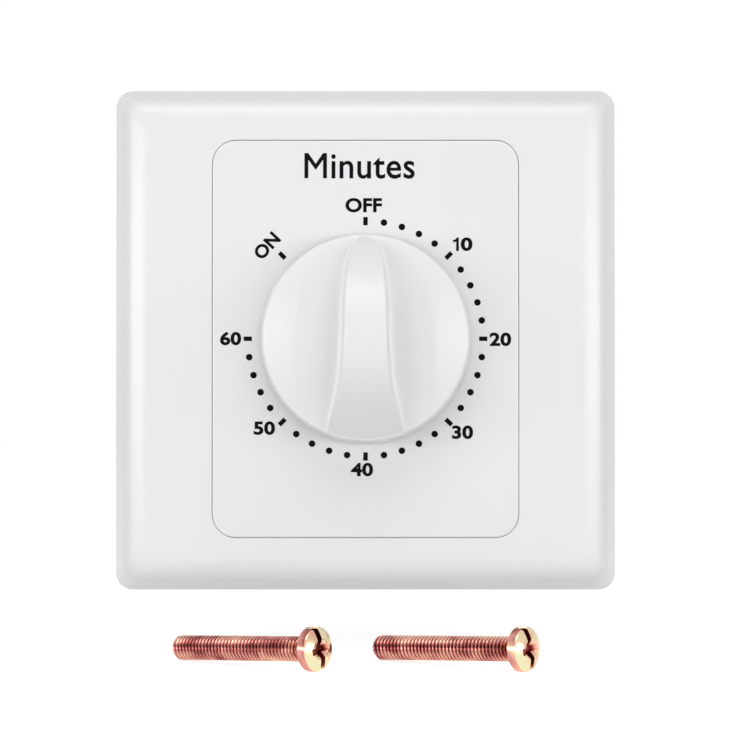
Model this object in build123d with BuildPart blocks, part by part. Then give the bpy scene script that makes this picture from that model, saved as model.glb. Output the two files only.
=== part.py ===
from build123d import *
import os
from math import acos, asin, atan2, cos, degrees, pi, radians, sin

# Wall-mounted clockwork timer light switch, in millimetres.
# X is to the right, Z is up and the front faces -Y. The wall is the plane Y = 0, and the origin
# lies midway between the two fixing holes. A level is a distance in front of the wall.

# Surround
plate_side = 86.0
plate_corner = 2.9
cover_front = 8.5
side_height = 5.2
side_run = 1.65
edge_band = 6.2
crown_corner = 2.0
cover_wall = 1.6
cover_skin = 2.2
cover_inner_corner = 1.6

# Dial panel
panel_width = 51.8
panel_height = 67.2
panel_corner = 4.0
panel_gap = 0.25
panel_recess = 0.05
panel_skin = 2.0
panel_wall = 1.6
panel_edge = 0.3
panel_hole_radius = 5.2
panel_boss_radius = 2.6
panel_boss_inset_x = 4.6
panel_boss_inset_z = 4.4

# Mounting base
base_margin = 0.75
base_corner = 2.4
base_thickness = 2.5
base_lap = 4.5
base_open_clearance = 1.0
base_open_corner = 2.0
tongue_width = 10.0
tongue_thickness = 1.2
tongue_height = 2.8
rib_gap = 0.3

# Fixing slots for the standard 60.3 mm wall box
fixing_pitch = 60.3
fixing_slot_length = 7.0
fixing_slot_radius = 2.3

# Screws: shank, head and recess
tap_screw_radius = 1.3
tap_head_radius = 2.3
tap_head_height = 1.3
tap_screw_length = 6.4
metal_screw_radius = 1.25
metal_head_radius = 2.1
metal_head_height = 1.3
slot_width = 0.6
slot_depth = 0.6
screw_clearance = 0.03

# Clockwork plates
movement_margin = 0.8
movement_head_margin = 0.7
movement_corner = 2.0
movement_plate = 1.0
movement_depth = 19.5
pillar_inset_x = 7.0
pillar_inset_z = 3.5
pillar_radius = 2.0
tenon_radius = 1.25
tenon_tail = 1.9
nut_radius = 2.4
nut_height = 1.6
movement_screw_inset = 2.1

# Rear case
case_air = 1.4
case_height = 56.0
case_rear_air = 1.4
case_corner = 3.0
case_wall = 1.6
case_boss_x = 12.0
case_boss_inset = 3.5
case_boss_radius = 2.8
case_boss_depth = 9.0

# Shaft and knob
shaft_radius = 3.0
shaft_flat = 1.8
shaft_front = 20.5
shaft_rear = 26.0
front_flat_start = 9.6
running_fit = 0.03
knob_radius = 17.8
knob_back = 9.0
knob_skirt = 6.6
knob_draft = 0.6
knob_crown = 1.8
knob_edge = 0.5
knob_height = 17.4
knob_hub_radius = 6.0
knob_wall = 2.0
knob_hollow = 4.2
knob_bore_depth = 12.2
spring_thickness = 0.4
spring_width = 3.6
spring_length = 8.0
pocket_clearance = 0.05
finger_half_width = 3.5
scoop_half_width = 11.4

# Gear train, wheel and pinion of each mesh
first_module = 0.35
fine_module = 0.25
great_teeth = 72
second_teeth = 60
third_teeth = 48
pinion_teeth = 12
wheel_thickness = 1.0
pinion_length = 3.0
arbor_radius = 0.8
pivot_radius = 0.5
pivot_fit = 0.03
arbor_play = 0.15
outer_ring = 14.4
second_arbor_angle = -140.0
great_level = -4.0
second_level = -8.0
third_level = -11.5
escape_level = -15.0

# Escapement
escape_teeth = 15
escape_radius = 5.0
escape_root = 3.7
verge_distance = 7.0
verge_angle = 15.0
pallet_radius = 0.35
pallet_distance = 5.85
pallet_angle = 36.0
verge_thickness = 0.8
balance_length = 12.0
balance_width = 2.4
balance_thickness = 1.6
balance_level = -8.0

# Shaft bearings, collar, clutch and stop
bush_radius = 4.5
bush_flange = 4.9
bush_flange_thickness = 0.5
collar_radius = 4.2
collar_length = 2.4
collar_pin_radius = 0.75
washer_radius = 5.4
washer_thickness = 0.3
washer_dish = 0.5
stop_hub_radius = 4.4
stop_ring = 6.0
stop_reach = 7.4
stop_width = 2.4
stop_pin_radius = 1.0
stop_thickness = 1.3
stop_start_angle = -20.0
knob_low = -45.0
knob_high = 270.0

# Mainspring
mainspring_turns = 7
mainspring_strip = 0.3
mainspring_width = 3.0
mainspring_inner = 4.6
mainspring_outer = 11.6
mainspring_level = -1.6
spring_post_radius = 1.0
spring_hub_radius = 4.2

# Switch gear behind the clockwork
cam_radius = 7.0
cam_thickness = 4.0
cam_gap = 2.2
cam_hub_radius = 4.4
cam_play = 0.2
cam_clip_thickness = 0.6
cam_notch_depth = 1.4
cam_notch_width = 5.0
block_floor = 2.0
block_half_width = 20.0
block_top = -9.5
rivet_x = 8.0
rivet_inset = 1.5
rivet_radius = 1.0
rivet_head_radius = 1.6
rivet_head_height = 0.5
terminal_x = 14.0
terminal_width = 7.0
terminal_height = 8.0
terminal_depth = 7.0
terminal_bore = 1.75
terminal_pad = 2.0
leaf_thickness = 0.4
leaf_width = 4.0
leaf_nose_gap = 0.4
leaf_nose_height = 1.5
leaf_reach = 11.0
contact_radius = 1.4
contact_height = 0.7
contact_gap = 1.2
wire_hole_radius = 3.0
driver_hole_radius = 2.8

# Loose fixing screws, lying below the switch
thread_radius = 2.0
thread_pitch = 0.7
thread_depth = 0.38
screw_length = 28.0
screw_head_radius = 3.6
screw_head_height = 2.5
screw_head_edge = 0.9
screw_point = 0.6
screw_neck = 0.5
recess_radius = 2.1
recess_width = 0.85
recess_depth = 1.3
screw_turn = 38.3
screw_floor = 52.75
slot_lean = 12.0
screw_tip_front = 21.8
screw_tip_x = -30.6
screw_spacing = 32.6

# Common allowances
overrun = 1.0
seat_gap = 0.05


def front(level):
    """Sketch plane parallel to the wall, a given distance in front of it, facing the viewer."""
    return Plane.XZ.offset(level)


def save(piece, name):
    """Label one finished piece and write it as its own STEP file."""
    piece.part.label = name
    export_step(piece.part, f"parts/{name}.step")


def ring(radius, angle):
    """Point on a circle round the shaft, seen from the front."""
    return (radius * cos(radians(angle)), radius * sin(radians(angle)))


def inner_angle(a, b, opposite):
    """Angle in degrees between two sides of a triangle, from the third side."""
    return degrees(acos((a * a + b * b - opposite * opposite) / (2 * a * b)))


def cap_middle(radius, rise):
    """Point halfway along the arc of a spherical cap: distance from the axis and height."""
    ball = (radius**2 + rise**2) / (2 * rise)
    turn = asin(radius / ball) / 2
    return ball * sin(turn), rise - ball * (1 - cos(turn))


os.makedirs("parts", exist_ok=True)

# Places that follow from the driving sizes
cavity_side = plate_side - 2 * (side_run + cover_wall)
base_side = cavity_side - 2 * base_margin
case_boss_z = case_height / 2 - case_boss_inset
movement_width = panel_width - 2 * (panel_wall + movement_margin)
movement_height = 2 * (case_boss_z - tap_head_radius - movement_head_margin)
movement_screw_x = movement_width / 2 - movement_screw_inset
pillar_x = movement_width / 2 - pillar_inset_x
pillar_z = movement_height / 2 - pillar_inset_z
base_open_width = movement_width - 2 * base_lap
base_open_height = 2 * (pillar_z + pillar_radius + base_open_clearance)
case_width = movement_width + 2 * (case_wall + case_air)
rivet_z = rivet_inset - movement_height / 2
movement_front = base_thickness
movement_rear = movement_front - movement_depth
plate_rear_face = movement_rear - movement_plate
cam_front = plate_rear_face - bush_flange_thickness - cam_gap
panel_front = cover_front - panel_recess
panel_inner = panel_front - panel_skin
boss_points = [
    (sx * (panel_width / 2 - panel_boss_inset_x), sz * (panel_height / 2 - panel_boss_inset_z))
    for sx in (-1, 1)
    for sz in (-1, 1)
]
case_points = [(sx * case_boss_x, sz * case_boss_z) for sx in (-1, 1) for sz in (-1, 1)]
pillar_points = [(sx * pillar_x, sz * pillar_z) for sx in (-1, 1) for sz in (-1, 1)]
movement_points = [(-movement_screw_x, 0), (movement_screw_x, 0)]
fixing_points = [(-fixing_pitch / 2, 0), (fixing_pitch / 2, 0)]
rivet_points = [(-rivet_x, rivet_z), (rivet_x, rivet_z)]

# Arbor places: each follows from the centre distance of its mesh
second_distance = first_module * (great_teeth + pinion_teeth) / 2
third_distance = fine_module * (second_teeth + pinion_teeth) / 2
escape_distance = fine_module * (third_teeth + pinion_teeth) / 2
third_arbor_angle = second_arbor_angle + inner_angle(second_distance, outer_ring, third_distance)
escape_arbor_angle = third_arbor_angle + inner_angle(outer_ring, outer_ring, escape_distance)
second_at = ring(second_distance, second_arbor_angle)
third_at = ring(outer_ring, third_arbor_angle)
escape_at = ring(outer_ring, escape_arbor_angle)
verge_offset = ring(verge_distance, verge_angle)
verge_at = (escape_at[0] + verge_offset[0], escape_at[1] + verge_offset[1])
arbor_points = [second_at, third_at, escape_at, verge_at]

# Surround, clipped on: drafted side, soft convex edge, flat front with the window for the panel
crown_levels = 6
crown_height = cover_front - side_height
crown_run = edge_band - side_run
window_width = panel_width + 2 * panel_gap
window_height = panel_height + 2 * panel_gap
cavity_top = cover_front - cover_skin
tongue_place = base_side / 2 - tongue_thickness / 2
with BuildPart() as cover_frame:
    with BuildSketch(front(0)):
        RectangleRounded(plate_side, plate_side, plate_corner)
    with BuildSketch(front(side_height)):
        RectangleRounded(plate_side - 2 * side_run, plate_side - 2 * side_run, plate_corner)
    loft(ruled=True)
    for step in range(crown_levels + 1):
        turn = (pi / 2) * step / crown_levels
        inset = side_run + crown_run * (1 - cos(turn))
        corner = plate_corner + (crown_corner - plate_corner) * step / crown_levels
        with BuildSketch(front(side_height + crown_height * sin(turn))):
            RectangleRounded(plate_side - 2 * inset, plate_side - 2 * inset, corner)
    loft()
    with BuildSketch(front(0)):
        RectangleRounded(cavity_side, cavity_side, cover_inner_corner)
    extrude(amount=cavity_top - cover_wall / 2, mode=Mode.SUBTRACT)
    with BuildSketch(front(0)):
        RectangleRounded(cavity_side - cover_wall, cavity_side - cover_wall, cover_inner_corner)
    extrude(amount=cavity_top, mode=Mode.SUBTRACT)
    with BuildSketch(front(0)):
        RectangleRounded(window_width, window_height, panel_corner + panel_gap)
    extrude(amount=cover_front + overrun, mode=Mode.SUBTRACT)
    with BuildSketch(front(base_thickness)):
        for angle in range(0, 360, 90):
            rib_width = cavity_side / 2 - base_side / 2 - rib_gap + overrun
            with Locations(Rotation(0, 0, angle)):
                with Locations((base_side / 2 + rib_gap + rib_width / 2, 0)):
                    Rectangle(rib_width, tongue_width)
    extrude(amount=cavity_top - base_thickness - cover_wall / 2)
save(cover_frame, "cover_frame")

# Dial panel: shallow tray on the base, flush in the window, with four screw bosses
with BuildPart() as dial_panel:
    with BuildSketch(front(base_thickness)):
        RectangleRounded(panel_width, panel_height, panel_corner)
    extrude(amount=panel_front - base_thickness)
    fillet(dial_panel.faces().sort_by(Axis.Y)[0].edges(), panel_edge)
    with BuildSketch(front(base_thickness)):
        RectangleRounded(
            panel_width - 2 * panel_wall, panel_height - 2 * panel_wall, panel_corner - panel_wall
        )
    extrude(amount=panel_inner - base_thickness, mode=Mode.SUBTRACT)
    with BuildSketch(front(base_thickness)):
        with Locations(*boss_points):
            Circle(panel_boss_radius)
    extrude(amount=panel_inner - base_thickness)
    with BuildSketch(front(base_thickness)):
        with Locations(*boss_points):
            Circle(tap_screw_radius + screw_clearance)
    extrude(amount=panel_inner - base_thickness, mode=Mode.SUBTRACT)
    with BuildSketch(front(base_thickness)):
        Circle(panel_hole_radius)
    extrude(amount=panel_front, mode=Mode.SUBTRACT)
save(dial_panel, "dial_panel")

# Mounting base: plate on the wall with fixing slots, tongues for the surround and screw holes
with BuildPart() as mounting_base:
    with BuildSketch(front(0)):
        RectangleRounded(base_side, base_side, base_corner)
        RectangleRounded(base_open_width, base_open_height, base_open_corner, mode=Mode.SUBTRACT)
        with Locations(*fixing_points):
            SlotOverall(fixing_slot_length, 2 * fixing_slot_radius, mode=Mode.SUBTRACT)
        with Locations(*boss_points, *case_points):
            Circle(tap_screw_radius + screw_clearance, mode=Mode.SUBTRACT)
        with Locations(*movement_points):
            Circle(metal_screw_radius + screw_clearance, mode=Mode.SUBTRACT)
    extrude(amount=base_thickness)
    with BuildSketch(front(0)):
        with Locations(*boss_points):
            Circle(tap_head_radius + screw_clearance)
    extrude(amount=tap_head_height + screw_clearance, mode=Mode.SUBTRACT)
    with BuildSketch(front(base_thickness)):
        for angle in range(0, 360, 90):
            with Locations(Rotation(0, 0, angle)):
                with Locations((tongue_place, 0)):
                    Rectangle(tongue_thickness, tongue_width)
    extrude(amount=tongue_height)
save(mounting_base, "mounting_base")


def screws(points, seat, length, radius, head, height, facing):
    """Slotted screws whose heads sit on a level and face the viewer (1) or the wall (-1)."""
    with BuildPart() as made:
        with BuildSketch(front(seat)):
            with Locations(*points):
                Circle(radius)
        extrude(amount=-facing * length)
        with BuildSketch(front(seat)):
            with Locations(*points):
                Circle(head)
        extrude(amount=facing * height)
        with BuildSketch(front(seat + facing * height)):
            with Locations(*points):
                Rectangle(2 * head + slot_width, slot_width)
        extrude(amount=-facing * slot_depth, mode=Mode.SUBTRACT)
    return made


# Four screws that pull the dial panel onto the base from behind
panel_screw_seat = tap_head_height + screw_clearance
panel_screw_length = panel_inner - panel_screw_seat - seat_gap
panel_screws = screws(
    boss_points, panel_screw_seat, panel_screw_length,
    tap_screw_radius, tap_head_radius, tap_head_height, -1,
)
save(panel_screws, "panel_screws")

# Four screws through the base into the bosses of the rear case
case_screws = screws(
    case_points, base_thickness, base_thickness + tap_screw_length,
    tap_screw_radius, tap_head_radius, tap_head_height, 1,
)
save(case_screws, "case_screws")

# Two screws that hold the clockwork on the base
movement_screws = screws(
    movement_points, base_thickness + movement_plate, base_thickness + movement_plate,
    metal_screw_radius, metal_head_radius, metal_head_height, 1,
)
save(movement_screws, "movement_screws")

# Rear case: box in the wall, open to the front, with screw bosses, wire holes and driver holes
terminal_low = -(case_height / 2 - case_wall) + seat_gap
terminal_front = plate_rear_face - block_floor - terminal_pad
terminal_mid = terminal_front - terminal_depth / 2
case_depth = terminal_depth - terminal_front + case_rear_air + case_wall
terminal_screw_z = terminal_low + terminal_height / 2
with BuildPart() as rear_case:
    with BuildSketch(front(0)):
        RectangleRounded(case_width, case_height, case_corner)
    extrude(amount=-case_depth)
    fillet(rear_case.faces().sort_by(Axis.Y)[-1].edges(), case_wall / 2)
    with BuildSketch(front(0)):
        RectangleRounded(
            case_width - 2 * case_wall, case_height - 2 * case_wall, case_corner - case_wall
        )
    extrude(amount=case_wall - case_depth, mode=Mode.SUBTRACT)
    with BuildSketch(front(0)):
        for x, z in case_points:
            with Locations((x, z)):
                Circle(case_boss_radius)
            with Locations((x, z + (case_boss_inset / 2 if z > 0 else -case_boss_inset / 2))):
                Rectangle(2 * case_boss_radius, case_boss_inset)
    extrude(amount=-case_boss_depth)
    with BuildSketch(front(0)):
        with Locations(*case_points):
            Circle(tap_screw_radius + screw_clearance)
    extrude(amount=-tap_screw_length - overrun, mode=Mode.SUBTRACT)
    with BuildSketch(Plane.XY.offset(-case_height / 2)):
        with Locations((-terminal_x, -terminal_mid), (terminal_x, -terminal_mid)):
            Circle(wire_hole_radius)
    extrude(amount=case_wall, mode=Mode.SUBTRACT)
    with BuildSketch(front(-case_depth)):
        with Locations((-terminal_x, terminal_screw_z), (terminal_x, terminal_screw_z)):
            Circle(driver_hole_radius)
    extrude(amount=case_wall, mode=Mode.SUBTRACT)
save(rear_case, "rear_case")


def pivot_holes():
    """Round holes for the pivots of the four arbors, in the sketch in hand."""
    with Locations(*arbor_points):
        Circle(pivot_radius + pivot_fit, mode=Mode.SUBTRACT)


# Front plate of the clockwork, on the base, with the stop pin riveted in its face
stop_pin_at = ring(stop_ring, stop_start_angle - (knob_low + knob_high) / 2 + 180)
post_at = ring(mainspring_outer + mainspring_strip + spring_post_radius + seat_gap, 0)
with BuildPart() as front_plate:
    with BuildSketch(front(movement_front)):
        RectangleRounded(movement_width, movement_height, movement_corner)
        Circle(bush_radius + screw_clearance, mode=Mode.SUBTRACT)
        pivot_holes()
        with Locations(*pillar_points):
            Circle(tenon_radius + screw_clearance, mode=Mode.SUBTRACT)
        with Locations(*movement_points):
            Circle(metal_screw_radius + screw_clearance, mode=Mode.SUBTRACT)
        with Locations(stop_pin_at):
            Circle(stop_pin_radius / 2 + screw_clearance, mode=Mode.SUBTRACT)
        with Locations(post_at):
            Circle(spring_post_radius / 2 + screw_clearance, mode=Mode.SUBTRACT)
    extrude(amount=movement_plate)
save(front_plate, "front_plate")

# Back plate of the clockwork
with BuildPart() as back_plate:
    with BuildSketch(front(movement_rear)):
        RectangleRounded(2 * (pillar_x + nut_radius + movement_plate), movement_height, movement_corner)
        Circle(bush_radius + screw_clearance, mode=Mode.SUBTRACT)
        pivot_holes()
        with Locations(*pillar_points):
            Circle(tenon_radius + screw_clearance, mode=Mode.SUBTRACT)
        with Locations(*rivet_points):
            Circle(rivet_radius + screw_clearance, mode=Mode.SUBTRACT)
    extrude(amount=-movement_plate)
save(back_plate, "back_plate")

# Four shouldered pillars: tenons in both plates, threaded tails behind
with BuildPart() as plate_pillars:
    with BuildSketch(front(movement_rear)):
        with Locations(*pillar_points):
            Circle(pillar_radius)
    extrude(amount=movement_depth)
    with BuildSketch(front(movement_rear - movement_plate - tenon_tail)):
        with Locations(*pillar_points):
            Circle(tenon_radius)
    extrude(amount=movement_depth + 2 * movement_plate + tenon_tail)
save(plate_pillars, "plate_pillars")

# Hexagon nuts on the pillar tails
with BuildPart() as pillar_nuts:
    with BuildSketch(front(plate_rear_face)):
        with Locations(*pillar_points):
            RegularPolygon(nut_radius, 6)
            Circle(tenon_radius + screw_clearance, mode=Mode.SUBTRACT)
    extrude(amount=-nut_height)
save(pillar_nuts, "pillar_nuts")

# Flanged bushes that carry the shaft in both plates
for name, face, side in (
    ("front_bush", movement_front + movement_plate, 1),
    ("rear_bush", plate_rear_face, -1),
):
    with BuildPart() as bush:
        with BuildSketch(front(face)):
            Circle(bush_flange)
        extrude(amount=side * bush_flange_thickness)
        with BuildSketch(front(face)):
            Circle(bush_radius)
        extrude(amount=-side * movement_plate)
        with BuildSketch(front(face)):
            Circle(shaft_radius + running_fit)
        extrude(amount=overrun, both=True, mode=Mode.SUBTRACT)
        with BuildSketch(front(face - side * movement_plate)):
            Circle(shaft_radius + running_fit)
        extrude(amount=side * (movement_plate + bush_flange_thickness), mode=Mode.SUBTRACT)
    save(bush, name)

# Stop pin: stands on the front plate in the path of the stop arm
stop_seat = movement_front + movement_plate
with BuildPart() as stop_pin:
    with BuildSketch(front(stop_seat)):
        with Locations(stop_pin_at):
            Circle(stop_pin_radius)
    extrude(amount=bush_flange_thickness + seat_gap + stop_thickness)
    with BuildSketch(front(stop_seat)):
        with Locations(stop_pin_at):
            Circle(stop_pin_radius / 2)
    extrude(amount=-movement_plate)
save(stop_pin, "stop_pin")

# Main shaft with a flat for the knob in front and one for the cam behind
collar_front = great_level - washer_dish - washer_thickness - 2 * seat_gap
collar_mid = collar_front - collar_length / 2
with BuildPart() as main_shaft:
    with BuildSketch(front(-shaft_rear)):
        Circle(shaft_radius)
    extrude(amount=shaft_rear + shaft_front)
    chamfer(main_shaft.edges().group_by(Axis.Y)[0], shaft_radius / 8)
    rear_flat_start = plate_rear_face - bush_flange_thickness
    for start, stop in ((front_flat_start, shaft_front), (-shaft_rear, rear_flat_start)):
        with BuildSketch(front(start)):
            with Locations((shaft_flat + shaft_radius / 2, 0)):
                Rectangle(shaft_radius, 2 * shaft_radius)
        extrude(amount=stop - start, mode=Mode.SUBTRACT)
    with BuildSketch(Plane.XY.offset(-shaft_radius)):
        with Locations((0, -collar_mid)):
            Circle(collar_pin_radius + screw_clearance)
    extrude(amount=2 * shaft_radius, mode=Mode.SUBTRACT)
save(main_shaft, "main_shaft")

# Stop arm pressed on the shaft in front of the plate
stop_arm_level = stop_seat + bush_flange_thickness + seat_gap
with BuildPart() as stop_arm:
    with BuildSketch(front(stop_arm_level)):
        Circle(stop_hub_radius)
        with Locations(Rotation(0, 0, stop_start_angle)):
            with Locations((stop_reach / 2, 0)):
                Rectangle(stop_reach, stop_width)
        Circle(shaft_radius + screw_clearance, mode=Mode.SUBTRACT)
    extrude(amount=stop_thickness)
save(stop_arm, "stop_arm")

# Collar pinned to the shaft, which pushes the friction clutch
with BuildPart() as drive_collar:
    with BuildSketch(front(collar_front)):
        Circle(collar_radius)
        Circle(shaft_radius + screw_clearance, mode=Mode.SUBTRACT)
    extrude(amount=-collar_length)
    with BuildSketch(Plane.XY.offset(-collar_radius)):
        with Locations((0, -collar_mid)):
            Circle(collar_pin_radius + screw_clearance)
    extrude(amount=2 * collar_radius, mode=Mode.SUBTRACT)
save(drive_collar, "drive_collar")

with BuildPart() as collar_pin:
    with BuildSketch(Plane.XY.offset(-collar_radius)):
        with Locations((0, -collar_mid)):
            Circle(collar_pin_radius)
    extrude(amount=2 * collar_radius)
save(collar_pin, "collar_pin")

# Dished friction washer between the collar and the great wheel
with BuildPart() as clutch_washer:
    with BuildSketch(Plane.XY):
        with BuildLine():
            inner = shaft_radius + seat_gap
            near = -collar_front - seat_gap
            far = -great_level + seat_gap
            Polyline(
                (inner, near),
                (inner, near - washer_thickness),
                (washer_radius, far),
                (washer_radius, far + washer_thickness),
                close=True,
            )
        make_face()
    revolve(axis=Axis.Y)
save(clutch_washer, "clutch_washer")


def toothed_outline(teeth, module, phase, centre):
    """Closed outline of a fine-pitch wheel with slim clock teeth, one of them at the phase angle."""
    tooth_shares = ((-0.29, -1.15), (-0.08, 0.75), (0.08, 0.75), (0.29, -1.15))
    pitch_radius = module * teeth / 2
    points = []
    for tooth in range(teeth):
        for turn_share, height_share in tooth_shares:
            angle = radians(phase + 360 * (tooth + turn_share) / teeth)
            radius = pitch_radius + height_share * module
            points.append((centre[0] + radius * cos(angle), centre[1] + radius * sin(angle)))
    Polyline(*points, close=True)


def wheel(teeth, module, phase, centre, level, bore):
    """Crossed-out clock wheel with four round lightening windows, behind its front face."""
    pitch_radius = module * teeth / 2
    window_ring = (pitch_radius + 2 * bore) / 2
    window_radius = (pitch_radius - 2 * bore) / 4
    with BuildPart() as made:
        with BuildSketch(front(level)):
            with BuildLine():
                toothed_outline(teeth, module, phase, centre)
            make_face()
            with Locations(centre):
                Circle(bore + screw_clearance, mode=Mode.SUBTRACT)
                with PolarLocations(window_ring, 4):
                    Circle(window_radius, mode=Mode.SUBTRACT)
        extrude(amount=wheel_thickness)
    return made


def arbor(module, phase, centre, pinion_mid):
    """Arbor with its pinion cut in one piece and a thin pivot at each end."""
    with BuildPart() as made:
        with BuildSketch(front(movement_rear + arbor_play)):
            with Locations(centre):
                Circle(arbor_radius)
        extrude(amount=movement_depth - 2 * arbor_play)
        with BuildSketch(front(movement_rear - movement_plate)):
            with Locations(centre):
                Circle(pivot_radius)
        extrude(amount=movement_depth + 2 * movement_plate)
        if module:
            with BuildSketch(front(pinion_mid - pinion_length / 2)):
                with BuildLine():
                    toothed_outline(pinion_teeth, module, phase, centre)
                make_face()
            extrude(amount=pinion_length)
    return made


def mesh_phase(wheel_teeth, wheel_phase, bearing):
    """Phase of a pinion whose gap faces a tooth of its wheel, for a wheel centred behind the bearing."""
    travel = (bearing - wheel_phase) * wheel_teeth / pinion_teeth
    return bearing + 180 + travel + 180 / pinion_teeth


def bearing_of(start, end):
    """Direction in degrees from one arbor to another, seen from the front."""
    return degrees(atan2(end[1] - start[1], end[0] - start[0]))


# Wheels and arbors of the train, from the great wheel on the shaft to the escape wheel
great_phase = second_arbor_angle
second_phase = bearing_of(second_at, third_at)
third_phase = bearing_of(third_at, escape_at)
half_wheel = wheel_thickness / 2
save(wheel(great_teeth, first_module, great_phase, (0, 0), great_level, shaft_radius), "great_wheel")
save(
    wheel(second_teeth, fine_module, second_phase, second_at, second_level, arbor_radius),
    "second_wheel",
)
save(
    wheel(third_teeth, fine_module, third_phase, third_at, third_level, arbor_radius),
    "third_wheel",
)
save(
    arbor(
        first_module, mesh_phase(great_teeth, great_phase, second_arbor_angle),
        second_at, great_level + half_wheel,
    ),
    "second_arbor",
)
save(
    arbor(
        fine_module, mesh_phase(second_teeth, second_phase, second_phase),
        third_at, second_level + half_wheel,
    ),
    "third_arbor",
)
save(
    arbor(
        fine_module, mesh_phase(third_teeth, third_phase, third_phase),
        escape_at, third_level + half_wheel,
    ),
    "escape_arbor",
)
save(arbor(0, 0, verge_at, 0), "verge_arbor")

# Escape wheel: fifteen pointed teeth raked one way
tooth_share = 0.62
with BuildPart() as escape_wheel:
    with BuildSketch(front(escape_level)):
        with BuildLine():
            points = []
            for tooth in range(escape_teeth):
                for turn_share, radius in ((0, escape_root), (tooth_share, escape_radius)):
                    angle = radians(360 * (tooth + turn_share) / escape_teeth)
                    points.append(
                        (escape_at[0] + radius * cos(angle), escape_at[1] + radius * sin(angle))
                    )
            Polyline(*points, close=True)
        make_face()
        with Locations(escape_at):
            Circle(arbor_radius + screw_clearance, mode=Mode.SUBTRACT)
    extrude(amount=wheel_thickness)
save(escape_wheel, "escape_wheel")

# Verge: fork behind the escape wheel that carries two pallet pins across its rim
fork_level = escape_level - seat_gap - verge_thickness - pallet_radius
pallet_points = []
for side in (-1, 1):
    offset_to_pin = ring(pallet_distance, verge_angle + side * pallet_angle)
    pallet_points.append((escape_at[0] + offset_to_pin[0], escape_at[1] + offset_to_pin[1]))
with BuildPart() as verge_fork:
    with BuildSketch(front(fork_level)):
        with Locations(verge_at):
            Circle(3 * arbor_radius)
        for point in pallet_points:
            with BuildLine():
                Line(verge_at, point)
            trace(line_width=4 * pallet_radius)
        with Locations(verge_at):
            Circle(arbor_radius + screw_clearance, mode=Mode.SUBTRACT)
    extrude(amount=verge_thickness)
    with BuildSketch(front(fork_level)):
        with Locations(*pallet_points):
            Circle(pallet_radius)
    extrude(amount=escape_level + wheel_thickness - fork_level)
save(verge_fork, "verge_fork")

# Balance bar on the verge arbor, which sets the beat
with BuildPart() as balance_bar:
    with BuildSketch(front(balance_level)):
        with Locations(verge_at):
            SlotOverall(balance_length, balance_width, rotation=90)
            Circle(arbor_radius + screw_clearance, mode=Mode.SUBTRACT)
    extrude(amount=balance_thickness)
save(balance_bar, "balance_bar")

# Mainspring: flat spiral strip between the hub on the shaft and a post on the front plate
spiral_step = (mainspring_outer - mainspring_inner) / mainspring_turns
with BuildPart() as mainspring:
    with BuildSketch(front(mainspring_level)):
        with BuildLine():
            quarter = 4
            edges = []
            for shift in (0, mainspring_strip):
                edges.append([
                    ring(
                        mainspring_inner + shift + spiral_step * k / quarter,
                        360 * k / quarter,
                    )
                    for k in range(quarter * mainspring_turns + 1)
                ])
            inside = Spline(*edges[0])
            outside = Spline(*edges[1])
            Line(inside @ 0, outside @ 0)
            Line(inside @ 1, outside @ 1)
        make_face()
    extrude(amount=mainspring_width)
save(mainspring, "mainspring")

# Post that holds the outer end of the mainspring
with BuildPart() as spring_post:
    with BuildSketch(front(mainspring_level)):
        with Locations(post_at):
            Circle(spring_post_radius)
    extrude(amount=movement_front - mainspring_level)
    with BuildSketch(front(movement_front)):
        with Locations(post_at):
            Circle(spring_post_radius / 2)
    extrude(amount=movement_plate)
save(spring_post, "spring_post")

# Hub on the shaft inside the mainspring, up to the great wheel
with BuildPart() as spring_hub:
    with BuildSketch(front(great_level + wheel_thickness + seat_gap)):
        Circle(spring_hub_radius)
        Circle(shaft_radius + screw_clearance, mode=Mode.SUBTRACT)
    extrude(amount=mainspring_level + mainspring_width - great_level - wheel_thickness - seat_gap)
save(spring_hub, "spring_hub")

# Switch cam on the rear flat, with the notch that faces down at OFF
with BuildPart() as switch_cam:
    with BuildSketch(front(cam_front)):
        Circle(cam_radius)
        with Locations((0, -cam_radius)):
            SlotOverall(cam_notch_width, 2 * cam_notch_depth, mode=Mode.SUBTRACT)
    extrude(amount=-cam_thickness)
    with BuildSketch(front(cam_front)):
        Circle(cam_hub_radius)
    extrude(amount=cam_gap - cam_play)
    with BuildSketch(front(cam_front - cam_thickness)):
        Circle(shaft_radius + screw_clearance)
        with Locations((shaft_flat + screw_clearance + shaft_radius, 0)):
            Rectangle(2 * shaft_radius, 3 * shaft_radius, mode=Mode.SUBTRACT)
    extrude(amount=cam_thickness + cam_gap, mode=Mode.SUBTRACT)
save(switch_cam, "switch_cam")

# Push-on ring that keeps the cam on the shaft
with BuildPart() as cam_clip:
    with BuildSketch(front(cam_front - cam_thickness - seat_gap)):
        Circle(cam_hub_radius)
        Circle(shaft_radius + screw_clearance, mode=Mode.SUBTRACT)
    extrude(amount=-cam_clip_thickness)
save(cam_clip, "cam_clip")

# Insulating block on the back plate that carries the contacts and the terminals
with BuildPart() as contact_block:
    with BuildSketch(front(plate_rear_face)):
        with Locations((0, (block_top + terminal_low) / 2)):
            Rectangle(2 * block_half_width, block_top - terminal_low)
        with Locations(*pillar_points):
            Circle(nut_radius + rib_gap, mode=Mode.SUBTRACT)
        with Locations(*rivet_points):
            Circle(rivet_radius + screw_clearance, mode=Mode.SUBTRACT)
    extrude(amount=-block_floor)
    with BuildSketch(front(plate_rear_face - block_floor)):
        for x in (-terminal_x, terminal_x):
            with Locations((x, terminal_low + terminal_height / 2)):
                Rectangle(terminal_width, terminal_height)
        with Locations(*pillar_points):
            Circle(nut_radius + rib_gap, mode=Mode.SUBTRACT)
    extrude(amount=-terminal_pad)
save(contact_block, "contact_block")

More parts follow.
